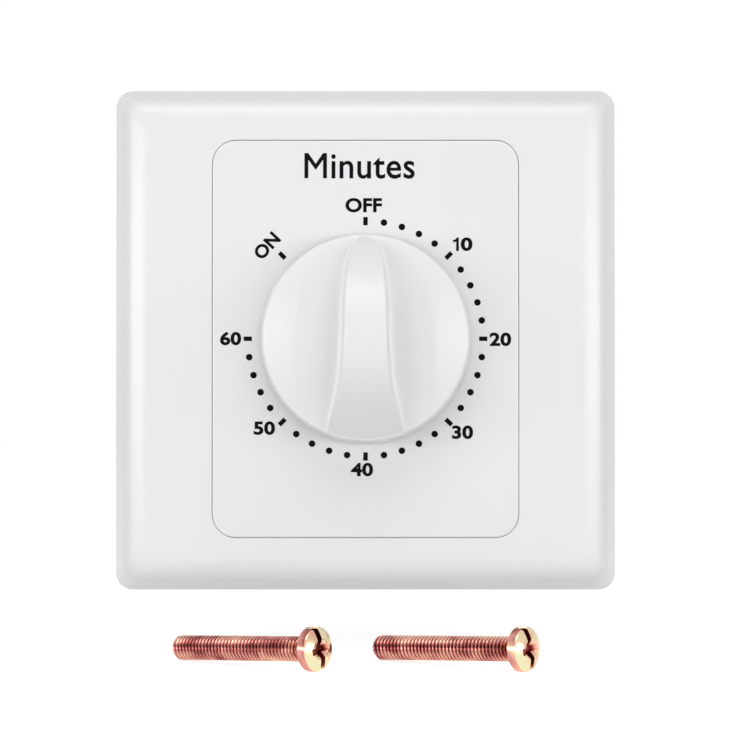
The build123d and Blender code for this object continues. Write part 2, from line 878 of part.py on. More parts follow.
# Two rivets through the back plate that hold the block
with BuildPart() as block_rivets:
    with BuildSketch(front(plate_rear_face - block_floor)):
        with Locations(*rivet_points):
            Circle(rivet_radius)
    extrude(amount=block_floor + movement_plate)
    for level, side in ((plate_rear_face - block_floor, -1), (movement_rear, 1)):
        with BuildSketch(front(level)):
            with Locations(*rivet_points):
                Circle(rivet_head_radius)
        extrude(amount=side * rivet_head_height)
save(block_rivets, "block_rivets")

# Brass wire terminals with a bore for the wire and a tapped hole for the clamp screw
for name, x in (("line_terminal", -terminal_x), ("load_terminal", terminal_x)):
    with BuildPart() as terminal:
        with BuildSketch(front(terminal_front)):
            with Locations((x, terminal_low + terminal_height / 2)):
                Rectangle(terminal_width, terminal_height)
        extrude(amount=-terminal_depth)
        with BuildSketch(Plane.XY.offset(terminal_low)):
            with Locations((x, -terminal_mid)):
                Circle(terminal_bore)
        extrude(amount=terminal_height, mode=Mode.SUBTRACT)
        with BuildSketch(front(terminal_mid)):
            with Locations((x, terminal_screw_z)):
                Circle(metal_screw_radius + screw_clearance)
        extrude(amount=-terminal_depth, mode=Mode.SUBTRACT)
    save(terminal, name)

# Clamp screws of the terminals, backed off to leave the wire bore free
clamp_seat = terminal_front - terminal_depth - metal_head_height / 2
terminal_screws = screws(
    [(-terminal_x, terminal_screw_z), (terminal_x, terminal_screw_z)], clamp_seat,
    terminal_mid - terminal_bore - seat_gap - clamp_seat,
    metal_screw_radius, metal_head_radius, metal_head_height, -1,
)
save(terminal_screws, "terminal_screws")

# Contact leaves: spring strips from each terminal to the contacts under the cam
leaf_front = cam_front - (cam_thickness - leaf_width) / 2
terminal_top = terminal_low + terminal_height
nose_z = -cam_radius - leaf_nose_gap
moving_leaf_z = nose_z - leaf_nose_height
fixed_leaf_z = moving_leaf_z - leaf_thickness - 2 * contact_height - contact_gap
moving_riser = -terminal_x - terminal_width / 2 + leaf_thickness
fixed_riser = terminal_x + terminal_width / 2 - leaf_thickness
nose_half = leaf_nose_height
contact_x = leaf_reach - contact_radius
with BuildPart() as moving_leaf:
    with BuildSketch(front(leaf_front)):
        with BuildLine():
            Polyline(
                (-terminal_x, terminal_top + leaf_thickness),
                (moving_riser, terminal_top + leaf_thickness),
                (moving_riser, moving_leaf_z - leaf_thickness),
                (leaf_reach, moving_leaf_z - leaf_thickness),
                (leaf_reach, moving_leaf_z),
                (nose_half, moving_leaf_z),
                (0, nose_z),
                (-nose_half, moving_leaf_z),
                (moving_riser - leaf_thickness, moving_leaf_z),
                (moving_riser - leaf_thickness, terminal_top),
                (-terminal_x, terminal_top),
                close=True,
            )
        make_face()
    extrude(amount=-leaf_width)
save(moving_leaf, "moving_leaf")

with BuildPart() as fixed_leaf:
    with BuildSketch(front(leaf_front)):
        with BuildLine():
            Polyline(
                (terminal_x, terminal_top),
                (fixed_riser + leaf_thickness, terminal_top),
                (fixed_riser + leaf_thickness, fixed_leaf_z),
                (contact_x - 2 * contact_radius, fixed_leaf_z),
                (contact_x - 2 * contact_radius, fixed_leaf_z - leaf_thickness),
                (fixed_riser, fixed_leaf_z - leaf_thickness),
                (fixed_riser, terminal_top + leaf_thickness),
                (terminal_x, terminal_top + leaf_thickness),
                close=True,
            )
        make_face()
    extrude(amount=-leaf_width)
save(fixed_leaf, "fixed_leaf")

contact_level = -(leaf_front - leaf_width / 2)
for name, z, side in (
    ("moving_contact", moving_leaf_z - leaf_thickness, -1),
    ("fixed_contact", fixed_leaf_z, 1),
):
    with BuildPart() as contact:
        with BuildSketch(Plane.XY.offset(z)):
            with Locations((contact_x, contact_level)):
                Circle(contact_radius)
        extrude(amount=side * contact_height)
    save(contact, name)

# Knob: drafted skirt, low crown, scooped flanks and a domed pointer finger
knob_rim = knob_back + knob_skirt
knob_top = knob_back + knob_height
rim_radius = knob_radius - knob_draft
finger_height = knob_top - knob_rim
dome_radius = (rim_radius**2 + finger_height**2) / (2 * finger_height)
station_shares = (
    (1.0, 0.2, 0.42),
    (0.92, 0.42, 0.48),
    (0.82, 0.7, 0.61),
    (0.7, 0.84, 0.76),
    (0.36, 0.98, 0.93),
    (0.0, 1.01, 0.99),
    (-0.42, 1.2, 1.0),
    (-0.62, 1.42, 1.0),
    (-0.79, 1.69, 0.99),
    (-1.0, 1.95, 0.97),
)
scoop_bow_share = 0.23


def finger_station(z_share, half_share, scoop_share):
    """Cross-section of the finger: domed height, flat top and two hollow flanks down to the crown."""
    z = knob_radius * z_share
    half = finger_half_width * half_share
    foot = scoop_half_width * scoop_share
    sag = dome_radius - (dome_radius**2 - min(abs(z), rim_radius) ** 2) ** 0.5
    top = knob_top - sag
    low = knob_rim - knob_crown / 2
    run, rise = foot - half, top - low
    bow = scoop_bow_share * run * rise / (run**2 + rise**2)
    bow_x = (half + foot) / 2 - rise * bow
    bow_y = (top + low) / 2 - run * bow
    with BuildSketch(Plane.XY.offset(z)) as station:
        with BuildLine():
            ThreePointArc((half, -top), (bow_x, -bow_y), (foot, -low))
            Line((foot, -low), (-foot, -low))
            ThreePointArc((-foot, -low), (-bow_x, -bow_y), (-half, -top))
            Line((-half, -top), (half, -top))
        make_face()
    return station.sketch


with BuildPart() as knob:
    with BuildSketch(Plane.XY):
        with BuildLine():
            Polyline(
                (0, -knob_back),
                (knob_radius, -knob_back),
                (rim_radius, -knob_rim),
            )
            middle_x, middle_rise = cap_middle(rim_radius, knob_crown)
            ThreePointArc(
                (rim_radius, -knob_rim),
                (middle_x, -knob_rim - middle_rise),
                (0, -knob_rim - knob_crown),
            )
            Line((0, -knob_rim - knob_crown), (0, -knob_back))
        make_face()
    revolve(axis=Axis.Y)
    fillet(knob.edges().filter_by(lambda edge: edge.is_closed).sort_by(Axis.Y)[0], knob_edge)

with BuildPart() as finger:
    loft([finger_station(*shares) for shares in station_shares])
    with BuildSketch(front(knob_back)):
        Circle(rim_radius)
    extrude(amount=2 * knob_height, mode=Mode.INTERSECT)

with BuildPart() as knob_whole:
    add(knob.part)
    add(finger.part)
    with BuildSketch(front(knob_back)):
        Circle(knob_radius - knob_wall)
        Circle(knob_hub_radius, mode=Mode.SUBTRACT)
    extrude(amount=knob_hollow, mode=Mode.SUBTRACT)
    with BuildSketch(front(knob_back)):
        Circle(shaft_radius + screw_clearance)
        with Locations((shaft_flat + screw_clearance + shaft_radius, 0)):
            Rectangle(2 * shaft_radius, 3 * shaft_radius, mode=Mode.SUBTRACT)
        pocket = spring_thickness + 2 * pocket_clearance
        with Locations((shaft_flat + pocket / 2, 0)):
            Rectangle(pocket, spring_width + 2 * pocket_clearance)
    extrude(amount=knob_bore_depth, mode=Mode.SUBTRACT)
    with BuildSketch(front(knob_back)):
        Circle(shaft_radius + screw_clearance)
    extrude(amount=front_flat_start - knob_back, mode=Mode.SUBTRACT)
save(knob_whole, "knob")

# Leaf that grips the flat in the bore of the knob
with BuildPart() as knob_spring:
    with BuildSketch(front(front_flat_start + spring_thickness)):
        with Locations((shaft_flat + pocket_clearance + spring_thickness / 2, 0)):
            Rectangle(spring_thickness, spring_width)
    extrude(amount=spring_length)
save(knob_spring, "knob_spring")

# Two loose fixing screws: pan heads with a combined slot and cross, lying on a level surface
lean = asin((screw_head_radius - thread_radius) / screw_length)
threads = int((screw_length - screw_neck - screw_point) / thread_pitch)
profile = [(0, 0), (thread_radius - screw_point, 0)]
for thread in range(threads):
    start = screw_point + thread * thread_pitch
    profile.append((thread_radius - thread_depth, start))
    profile.append((thread_radius, start + thread_pitch / 2))
profile.append((thread_radius - thread_depth, screw_point + threads * thread_pitch))
profile.append((thread_radius - thread_depth, screw_length))
profile.append((screw_head_radius, screw_length))
profile.append((screw_head_radius, screw_length + screw_head_height - screw_head_edge))
head_edge_z = screw_length + screw_head_height - screw_head_edge
dome_x, dome_rise = cap_middle(screw_head_radius, screw_head_edge)
with BuildPart() as one_screw:
    with BuildSketch(Plane.XZ):
        with BuildLine():
            Polyline(*profile)
            ThreePointArc(
                profile[-1], (dome_x, head_edge_z + dome_rise), (0, screw_length + screw_head_height)
            )
            Line((0, screw_length + screw_head_height), (0, 0))
        make_face()
    revolve(axis=Axis.Z)
    with BuildSketch(Plane.XY.offset(screw_length + screw_head_height)):
        Rectangle(recess_width, 2 * screw_head_radius + overrun, rotation=slot_lean)
        Rectangle(2 * recess_radius, recess_width, rotation=slot_lean)
    extrude(amount=-recess_depth, mode=Mode.SUBTRACT)
    with Locations((0, 0, screw_length + screw_head_height - recess_depth * 3 / 4)):
        Cone(recess_width / 4, recess_radius * 3 / 4, recess_depth * 3 / 2, mode=Mode.SUBTRACT)

tip_z = -screw_floor + thread_radius * cos(lean)
places = [
    Location(
        Plane(
            origin=(screw_tip_x + number * screw_spacing, -screw_tip_front, tip_z),
            x_dir=(sin(radians(screw_turn)), cos(radians(screw_turn)), 0),
            z_dir=(
                cos(lean) * cos(radians(screw_turn)),
                -cos(lean) * sin(radians(screw_turn)),
                sin(lean),
            ),
        )
    )
    for number in range(2)
]
with BuildPart() as fixing_screws:
    for place in places:
        add(one_screw.part.moved(place))
save(fixing_screws, "fixing_screws")
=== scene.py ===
"""Countdown timer light switch on a square wall plate, with its two loose fixing screws."""

import math

import bmesh
import bpy
import numpy as np
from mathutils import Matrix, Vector


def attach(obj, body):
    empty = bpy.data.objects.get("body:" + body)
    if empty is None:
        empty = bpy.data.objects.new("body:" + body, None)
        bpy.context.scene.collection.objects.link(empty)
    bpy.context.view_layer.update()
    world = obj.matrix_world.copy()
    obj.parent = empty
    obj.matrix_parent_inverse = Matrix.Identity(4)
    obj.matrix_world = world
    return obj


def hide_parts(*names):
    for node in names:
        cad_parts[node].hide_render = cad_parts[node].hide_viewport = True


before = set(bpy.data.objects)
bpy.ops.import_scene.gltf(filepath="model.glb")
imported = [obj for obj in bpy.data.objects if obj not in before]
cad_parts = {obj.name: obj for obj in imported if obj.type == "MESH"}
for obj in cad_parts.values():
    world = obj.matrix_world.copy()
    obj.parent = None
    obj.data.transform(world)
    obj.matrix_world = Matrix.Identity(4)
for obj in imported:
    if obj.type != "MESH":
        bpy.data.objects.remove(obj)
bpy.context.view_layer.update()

# Camera: a little below the middle of the dial, tilted up, at the distance that gives the plate,
# the knob and the screws their sizes in the picture.
camera = bpy.data.objects.new("camera", bpy.data.cameras.new("camera"))
bpy.context.scene.collection.objects.link(camera)
bpy.context.scene.camera = camera
camera.data.lens = 119.6
camera.location = (0.00017, -0.42, -0.0105)
looks_at = Vector((0.00017, 0.0, -0.00457))
camera.rotation_euler = (looks_at - camera.location).to_track_quat("-Z", "Y").to_euler()

# Mounting base and rear case: polycarbonate from a spark-eroded mould, so an even fine grain
# takes the gloss off. The base lies on the wall, the case stands in the wall box behind it.
# sizes of pieces are written in mm and turned to metres in their points
millimetre = 0.001


def linear(hex_colour):
    """sRGB hex colour turned to linear light: c / 12.92 below 0.04045, and ((c + 0.055) / 1.055) ^ 2.4
    above it."""
    c = np.array([int(hex_colour[i : i + 2], 16) for i in (1, 3, 5)]) / 255
    return (*np.where(c <= 0.04045, c / 12.92, ((c + 0.055) / 1.055) ** 2.4).tolist(), 1.0)


def add(material, kind, inputs=(), **settings):
    """Add one node: settings are its properties, inputs give each socket a value or another node's output."""
    node = material.node_tree.nodes.new("ShaderNode" + kind)
    for name, value in settings.items():
        setattr(node, name, value)
    for name, value in dict(inputs).items():
        if isinstance(value, bpy.types.NodeSocket):
            material.node_tree.links.new(value, node.inputs[name])
        else:
            node.inputs[name].default_value = value
    return node


def moulding(name, colour, shade, grain, depth, rough, ior=1.53):
    """Moulded plastic: colour drifts slowly towards shade, grain and depth in mm shape the skin, and rough
    gives the lowest and highest roughness (equal: an even gloss)."""
    material = bpy.data.materials.new(name)
    material.use_nodes = True
    shader = material.node_tree.nodes["Principled BSDF"]
    place = add(material, "TexCoord").outputs["Object"]
    drift = add(material, "TexNoise", {"Vector": place, "Scale": 1 / (40 * millimetre), "Detail": 0.0})
    share = add(material, "MapRange", {"Value": drift.outputs[0], "From Min": 0.2, "From Max": 0.8})
    tint = add(
        material,
        "Mix",
        {0: share.outputs[0], 6: linear(colour), 7: linear(shade)},
        data_type="RGBA",
    )
    skin = add(material, "TexNoise", {"Vector": place, "Scale": 1 / (grain * millimetre), "Detail": 2.0})
    bump = add(
        material, "Bump", {"Height": skin.outputs[0], "Distance": depth * millimetre, "Strength": 1.0}
    )
    links = material.node_tree.links
    links.new(tint.outputs[2], shader.inputs["Base Color"])
    links.new(bump.outputs[0], shader.inputs["Normal"])
    if rough[0] < rough[1]:
        span = {"Value": skin.outputs[0], "To Min": rough[0], "To Max": rough[1]}
        links.new(add(material, "MapRange", span).outputs[0], shader.inputs["Roughness"])
    shader.inputs["Roughness"].default_value = rough[0]
    shader.inputs["IOR"].default_value = ior
    return material


def dress(material, *names):
    """Give CAD nodes a material: every slot of each node's object takes it."""
    for name in names:
        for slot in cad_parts[name].material_slots:
            slot.material = material


# polycarbonate, spark-eroded skin: matt, slightly warm white with an even 0.35 mm grain
textured_polycarbonate = moulding(
    "textured_polycarbonate", "#E6E5E1", "#DBDAD5", grain=0.35, depth=0.02, rough=(0.42, 0.6), ior=1.58
)
dress(textured_polycarbonate, "mounting_base", "rear_case")

# Clockwork plates and wheels: hard rolled brass sheet, blanked in a press, then brushed along the
# sheet and lacquered. The teeth are cut, so the flanks are as bright as the faces.


def worked_metal(name, colour, tarnish, line, along, rough):
    """Metal with a directional finish: lines of a given width in mm run along one axis ("X", "Y" or "Z",
    "" for none), 25 times as long as wide; colour drifts towards tarnish in 4 mm patches."""
    material = bpy.data.materials.new(name)
    material.use_nodes = True
    shader = material.node_tree.nodes["Principled BSDF"]
    place = add(material, "TexCoord").outputs["Object"]
    stretch = tuple(1 / 25 if axis == along else 1.0 for axis in "XYZ")
    drawn = add(material, "Mapping", {"Vector": place, "Scale": stretch})
    lines = add(
        material,
        "TexNoise",
        {"Vector": drawn.outputs[0], "Scale": 1 / (line * millimetre), "Detail": 2.0},
    )
    patch = add(material, "TexNoise", {"Vector": place, "Scale": 1 / (4 * millimetre), "Detail": 4.0})
    share = add(material, "MapRange", {"Value": patch.outputs[0], "From Min": 0.35, "From Max": 0.7})
    tint = add(
        material, "Mix", {0: share.outputs[0], 6: linear(colour), 7: linear(tarnish)}, data_type="RGBA"
    )
    gloss = add(
        material, "MapRange", {"Value": lines.outputs[0], "To Min": rough[0], "To Max": rough[1]}
    )
    bump = add(
        material, "Bump", {"Height": lines.outputs[0], "Distance": 0.01 * millimetre, "Strength": 1.0}
    )
    links = material.node_tree.links
    links.new(tint.outputs[2], shader.inputs["Base Color"])
    links.new(gloss.outputs[0], shader.inputs["Roughness"])
    links.new(bump.outputs[0], shader.inputs["Normal"])
    shader.inputs["Metallic"].default_value = 1.0
    return material


# rolled brass, brushed lengthways: fine straight lines, warm yellow, a few browner patches
brushed_brass = worked_metal("brushed_brass", "#D8B266", "#B98F48", 0.12, "X", (0.22, 0.4))
dress(
    brushed_brass,
    "front_plate",
    "back_plate",
    "great_wheel",
    "second_wheel",
    "third_wheel",
    "escape_wheel",
    "balance_bar",
)

# Turned brass: pillars, nuts, bushes and the two wire terminals come off the bar on a lathe or a
# mill, so fine rings run round them and they are a little brighter than the sheet.
# turned brass: rings across the axis, brighter yellow
turned_brass = worked_metal("turned_brass", "#DDB970", "#C2984F", 0.2, "", (0.16, 0.32))
dress(
    turned_brass,
    "plate_pillars",
    "pillar_nuts",
    "front_bush",
    "rear_bush",
    "spring_hub",
    "drive_collar",
    "line_terminal",
    "load_terminal",
    "block_rivets",
)

# Shafts, arbors and pins: free-cutting steel, turned and nickel-plated; small screws: steel, headed
# in a die and zinc-plated bright.
# bright plated steel: cool grey with a soft grain along the axis
plated_steel = worked_metal("plated_steel", "#C9C8C4", "#A9A9A6", 0.18, "Y", (0.2, 0.36))
dress(
    plated_steel,
    "main_shaft",
    "stop_arm",
    "stop_pin",
    "collar_pin",
    "spring_post",
    "second_arbor",
    "third_arbor",
    "escape_arbor",
    "verge_arbor",
    "verge_fork",
    "panel_screws",
    "case_screws",
    "movement_screws",
    "terminal_screws",
)

# Mainspring, knob leaf, clutch washer and cam clip: hardened strip, tempered blue.
# blued spring steel: dark blue-grey with a straw edge where the temper ran
blued_steel = worked_metal("blued_steel", "#5A6478", "#6F675C", 0.25, "Z", (0.25, 0.42))
dress(blued_steel, "mainspring", "knob_spring", "clutch_washer", "cam_clip")

# Contact leaves: phosphor bronze strip, punched and bent; the contacts are silver alloy rivets.
# rolled phosphor bronze: redder than the brass, faint rolling lines
rolled_bronze = worked_metal("rolled_bronze", "#C98F62", "#A86F48", 0.15, "X", (0.24, 0.4))
dress(rolled_bronze, "moving_leaf", "fixed_leaf")
# silver alloy, coined: pale and soft, slightly frosted
coined_silver = worked_metal("coined_silver", "#E4E2DB", "#C8C4B8", 0.3, "", (0.28, 0.45))
dress(coined_silver, "moving_contact", "fixed_contact")

# Contact block: brown phenolic, pressed hot in a steel mould; switch cam: natural nylon, turned
# by the shaft and rubbed smooth by the moving leaf.
# phenolic moulding: dark brown with a wood-flour speckle and a dull polish
pressed_phenolic = moulding(
    "pressed_phenolic", "#4A2F22", "#37231A", grain=0.5, depth=0.01, rough=(0.3, 0.5), ior=1.6
)
dress(pressed_phenolic, "contact_block")
# natural nylon: milky and waxy
natural_nylon = moulding(
    "natural_nylon", "#E7E2D2", "#DAD3BF", grain=0.8, depth=0.006, rough=(0.34, 0.46)
)
natural_nylon.node_tree.nodes["Principled BSDF"].inputs["Subsurface Weight"].default_value = 0.15
natural_nylon.node_tree.nodes["Principled BSDF"].inputs["Subsurface Scale"].default_value = millimetre
dress(natural_nylon, "switch_cam")

# Dial panel: glossy ABS tray, flush in the window of the surround, its dial pad-printed in black.
# glossy ABS: cool white, polished mould, so only a slow waviness in the gloss
polished_abs = moulding(
    "polished_abs", "#ECECEE", "#E8E8EA", grain=3.0, depth=0.006, rough=(0.25, 0.25)
)
dress(polished_abs, "dial_panel")

panel_front = 8.45
print_thickness = 0.03
dial_radius = 19.9
bar_length = 1.4
bar_width = 0.75
dot_radius = 0.56
dot_spacing = 9
bar_turns = (-45, 0, 45, 90, 135, 180, 225, 270)
dot_turns = [turn for turn in range(0, 271, dot_spacing) if turn not in bar_turns]
number_height = 2.3
# points of a mesh nearer than this are one point, edges shorter than this go, in mm
weld = 0.0008
sliver = 0.0002


def on_panel(across, up, level):
    """Points on the panel, in metres: across to the right, up, and level in front of the wall."""
    return np.stack([across, np.zeros_like(across) - level, up], -1) * millimetre


def piece(name, parts, material, body, sharp=30, stands_for=()):
    """One object from several surfaces (points, faces): equal points are merged, faces are turned outwards,
    and edges sharper than a given angle stay crisp."""
    starts = np.cumsum([0] + [len(points) for points, _ in parts[:-1]]).tolist()
    points = np.concatenate([points for points, _ in parts])
    faces = []
    for (_, part), start in zip(parts, starts):
        faces += [[corner + start for corner in face] for face in part]
    mesh = bpy.data.meshes.new(name)
    mesh.from_pydata(points.tolist(), [], faces)
    work = bmesh.new()
    work.from_mesh(mesh)
    bmesh.ops.remove_doubles(work, verts=work.verts, dist=weld * millimetre)
    bmesh.ops.dissolve_degenerate(work, edges=work.edges, dist=sliver * millimetre)
    bmesh.ops.recalc_face_normals(work, faces=work.faces)
    work.to_mesh(mesh)
    work.free()
    mesh.materials.append(material)
    mesh.shade_smooth()
    mesh.set_sharp_from_angle(angle=math.radians(sharp))
    item = bpy.data.objects.new(name, mesh)
    bpy.context.scene.collection.objects.link(item)
    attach(item, body)
    if stands_for:
        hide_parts(*stands_for)
    return item


def plate_of(across, up):
    """A flat outline given a thickness on the panel: front face, back face and the strip between them."""
    count = len(across)
    front = on_panel(across, up, panel_front + print_thickness)
    back = on_panel(across, up, panel_front)
    ring = np.arange(count)
    after = np.roll(ring, -1)
    strip = np.stack([ring, after, after + count, ring + count], -1).tolist()
    return np.concatenate([front, back]), strip + [ring.tolist(), (ring[::-1] + count).tolist()]


def dot(turn):
    """Round dot: 20 points on a circle, centred on the dial circle at a given turn from the top."""
    angle = np.linspace(0, 2 * math.pi, 20, endpoint=False)
    across = dial_radius * math.sin(math.radians(turn)) + dot_radius * np.cos(angle)
    up = dial_radius * math.cos(math.radians(turn)) + dot_radius * np.sin(angle)
    return across, up


def bar(turn):
    """Bar: a rectangle that lies along the radius, centred on the dial circle."""
    side = np.array([-1, 1, 1, -1]) * bar_width / 2
    out = dial_radius + np.array([-1, -1, 1, 1]) * bar_length / 2
    angle = math.radians(turn)
    across = out * math.sin(angle) + side * math.cos(angle)
    up = out * math.cos(angle) - side * math.sin(angle)
    return across, up


def word(text, height, weight, middle, turn=0.0, width=1.0):
    """Printed word: outline of the built-in plain face, thickened by weight, scaled to a capital's height
    in mm, centred on middle and turned anticlockwise."""
    curve = bpy.data.curves.new(text, "FONT")
    curve.body = text
    curve.offset = weight
    curve.extrude = 0.5
    curve.space_character = 1.04
    curve.resolution_u = 6
    writing = bpy.data.objects.new(text, curve)
    bpy.context.scene.collection.objects.link(writing)
    bpy.context.view_layer.update()
    flat = bpy.data.meshes.new_from_object(writing.evaluated_get(bpy.context.evaluated_depsgraph_get()))
    bpy.data.objects.remove(writing)
    points = np.empty(len(flat.vertices) * 3)
    flat.vertices.foreach_get("co", points)
    points, deep = points.reshape(-1, 3)[:, :2], points[2::3]
    corners = np.empty(len(flat.loop_triangles) * 3, int)
    flat.loop_triangles.foreach_get("vertices", corners)
    faces = corners.reshape(-1, 3).tolist()
    low, high = points.min(0), points.max(0)
    points = (points - (low + high) / 2) * height / (high[1] - low[1]) * (width, 1.0)
    c, s = math.cos(math.radians(turn)), math.sin(math.radians(turn))
    across = middle[0] + points[:, 0] * c - points[:, 1] * s
    up = middle[1] + points[:, 0] * s + points[:, 1] * c
    bpy.data.meshes.remove(flat)
    return on_panel(across, up, panel_front + print_thickness * (deep + 0.5)), faces


# pad-printing ink: dense black, slightly satin, with a faint unevenness of the transfer
pad_ink = moulding("pad_ink", "#050506", "#0C0C0E", grain=0.25, depth=0.003, rough=(0.4, 0.55), ior=1.3)
pad_ink.node_tree.nodes["Principled BSDF"].inputs["Specular IOR Level"].default_value = 0.12
marks = [plate_of(*dot(turn)) for turn in dot_turns] + [plate_of(*bar(turn)) for turn in bar_turns]
piece("dial_scale", marks, pad_ink, "housing")
# the 1 of the 10 has a flag, which the built-in face lacks: foot, stem, flag, given as corners in mm
one_across = np.array([15.34, 15.78, 15.78, 15.46, 15.26, 14.8, 14.8, 15.34])
one_up = np.array([14.85, 14.85, 17.15, 17.15, 16.85, 16.68, 16.32, 16.45])
# the built-in M closes up when it is thickened: left stem, valley, right stem, notch, in mm
m_across = np.array([-10.33, -9.68, -9.68, -8.43, -7.18, -7.18, -6.53, -6.53, -7.18, -8.43, -9.68, -10.33])
m_up = np.array([27.17, 27.17, 30.32, 28.57, 30.32, 27.17, 27.17, 31.43, 31.43, 29.62, 31.43, 31.43])
words = [
    plate_of(one_across, one_up),
    plate_of(m_across, m_up),
    word("0", number_height, 0.038, (17.1, 16.0), width=1.3),
    word("20", number_height, 0.038, (22.8, -0.1), width=1.2),
    word("30", number_height, 0.038, (16.4, -15.8), width=1.2),
    word("40", number_height, 0.038, (-0.6, -22.1), width=1.2),
    word("50", number_height, 0.038, (-17.1, -15.1), width=1.2),
    word("60", number_height, 0.038, (-22.8, 0.05), width=1.2),
    word("OFF", 2.45, 0.036, (-0.3, 22.6), width=1.08),
    word("ON", 2.35, 0.036, (-16.7, 15.7), turn=47.0),
    word("inutes", 4.16, 0.011, (1.27, 29.16), width=0.93),
]
piece("dial_words", words, pad_ink, "housing")

# Surround: one ABS moulding clipped on the base. Its side is drafted for the mould, a soft convex
# edge runs round the front, and the front is flat up to the window of the panel.
half_side = 43.0
side_height = 5.2
side_run = 1.65
edge_band = 6.2
front_level = 8.5
wall = 1.6
skin_level = 6.3
window_half = (25.97, 33.67)
window_corner = 4.12
outer_corner = 2.9
crown_corner = 2.0
break_radius = 0.12
crown_margin = 0.15
window_margin = 0.4
ledge = 0.8
cavity_corner = 1.6


def carry(rows, arc_points=14):
    """Rounded rectangles stacked along the depth. Each row gives half width, half height, corner radius
    and level; a point is the corner's centre plus the radius turned round it."""
    half_x, half_z, corner, level = np.array(rows, float).T[:, :, None]
    quarter = np.linspace(0, math.pi / 2, arc_points)
    angle = np.concatenate([quarter + k * math.pi / 2 for k in range(4)])
    sign_x = np.repeat([1, -1, -1, 1], arc_points)
    sign_z = np.repeat([1, 1, -1, -1], arc_points)
    across = sign_x * (half_x - corner) + corner * np.cos(angle)
    up = sign_z * (half_z - corner) + corner * np.sin(angle)
    return on_panel(across, up, level + np.zeros_like(across))


def skin_of(grid, closed_rows=False, closed_columns=True):
    """Faces of a grid: closed_rows joins the last row to the first, closed_columns does so for columns."""
    rows, columns = grid.shape[:2]
    index = np.arange(rows * columns).reshape(rows, columns)
    if closed_rows:
        index = np.vstack([index, index[:1]])
    if closed_columns:
        index = np.hstack([index, index[:, :1]])
    faces = np.stack([index[:-1, :-1], index[:-1, 1:], index[1:, 1:], index[1:, :-1]], -1)
    return grid.reshape(-1, 3), faces.reshape(-1, 4).tolist()


side = np.linspace(0, 1, 6)
side_rows = [
    (half_side - side_run * s, half_side - side_run * s, outer_corner, side_height * s) for s in side
]
# the crown is a quadratic curve: it leaves along the side, bends at the knee and ends along the front
knee_inset = side_run * front_level / side_height
share = np.linspace(0, 1, 18)[1:]
inset = (1 - share) ** 2 * side_run + 2 * share * (1 - share) * knee_inset + share**2 * edge_band
crown_level = front_level - (front_level - side_height) * (1 - share) ** 2
crown_rows = [
    (half_side - i, half_side - i, outer_corner + (crown_corner - outer_corner) * k, level)
    for i, k, level in zip(inset, share, crown_level)
]
flat_half = half_side - edge_band - crown_margin
window_rows = [
    (
        window_half[0] + break_radius * (1 - math.sin(a)),
        window_half[1] + break_radius * (1 - math.sin(a)),
        window_corner + break_radius * (1 - math.sin(a)),
        front_level - break_radius * (1 - math.cos(a)),
    )
    for a in np.linspace(0, math.pi / 2, 6)
]
cavity = half_side - side_run - wall
surround_rows = (
    side_rows
    + crown_rows
    + [(flat_half, flat_half, crown_corner, front_level)]
    + [(*(half + window_margin for half in window_half), window_corner + window_margin, front_level)]
    + window_rows
    + [
        (*window_half, window_corner, skin_level),
        (cavity - ledge, cavity - ledge, cavity_corner, skin_level),
        (cavity - ledge, cavity - ledge, cavity_corner, skin_level - ledge),
        (cavity, cavity, cavity_corner, skin_level - ledge),
        (cavity, cavity, cavity_corner, 0.0),
    ]
)
moulded_abs = moulding(
    "moulded_abs", "#EDEDEF", "#E9E9EB", grain=3.0, depth=0.006, rough=(0.25, 0.25)
)
surround = skin_of(carry(surround_rows), closed_rows=True)
piece("surround", [surround], moulded_abs, "surround", 34, ["cover_frame"])

# Knob: one ABS moulding pushed on the shaft. A low drafted drum with a gently domed front, a fin
# across it that widens downwards, and a finger scoop on each side of the fin; hollow underneath.
knob_radius = 17.8
rim_radius = 17.2
knob_back = 9.0
rim_level = 15.6
dome_rise = 1.8
fin_height = 10.8
fin_power = 2.2
nose_end = 16.9
nose_length = 1.3
fin_edge = 0.45
rim_edge = 0.45
rim_drop = 0.2
rim_fade_power = 8
scoop_slope = 0.125
scoop_power = 14.0
scoop_gap = 1.0
foot_rise = 0.2
foot_inset = 0.12
knob_wall = 2.0
hollow_depth = 4.2
hollow_draft = 0.2
shaft_depth = 12.2
hub_radius = 6.0
shaft_radius = 3.03
flat_distance = 2.2
# half widths in mm of the fin's top and of the two scoops together, each at its height on the knob
fin_heights = np.array([-17.2, -16.1, -14.0, -10.5, -7.4, -4.0, -0.4, 5.6, 12.4, 14.1, 15.9, 16.8])
fin_halves = np.array([6.6, 6.35, 5.9, 4.95, 4.2, 3.8, 3.55, 3.48, 2.95, 2.58, 1.65, 0.2])
scoop_heights = np.array([-17.2, -12.1, -8.2, 1.8, 5.0, 10.5, 16.0, 17.2])
scoop_halves = np.array([11.0, 11.2, 11.35, 11.35, 10.9, 9.6, 5.4, 4.0])
least_fin_square = 0.03


def smooth_curve(at, places, values):
    """Cubic through the given values with slopes from the neighbours on each side (a Hermite curve)."""
    slopes = np.gradient(values, places)
    k = np.clip(np.searchsorted(places, at) - 1, 0, len(places) - 2)
    step = places[k + 1] - places[k]
    t = (at - places[k]) / step
    return (
        (2 * t**3 - 3 * t**2 + 1) * values[k]
        + (t**3 - 2 * t**2 + t) * step * slopes[k]
        + (3 * t**2 - 2 * t**3) * values[k + 1]
        + (t**3 - t**2) * step * slopes[k + 1]
    )


def fin_half(up):
    """Half width of the fin: the square root of a smooth curve through the squares, so its nose is round."""
    within = np.clip(up, fin_heights[0], fin_heights[-1])
    return np.sqrt(np.maximum(smooth_curve(within, fin_heights, fin_halves**2), least_fin_square))


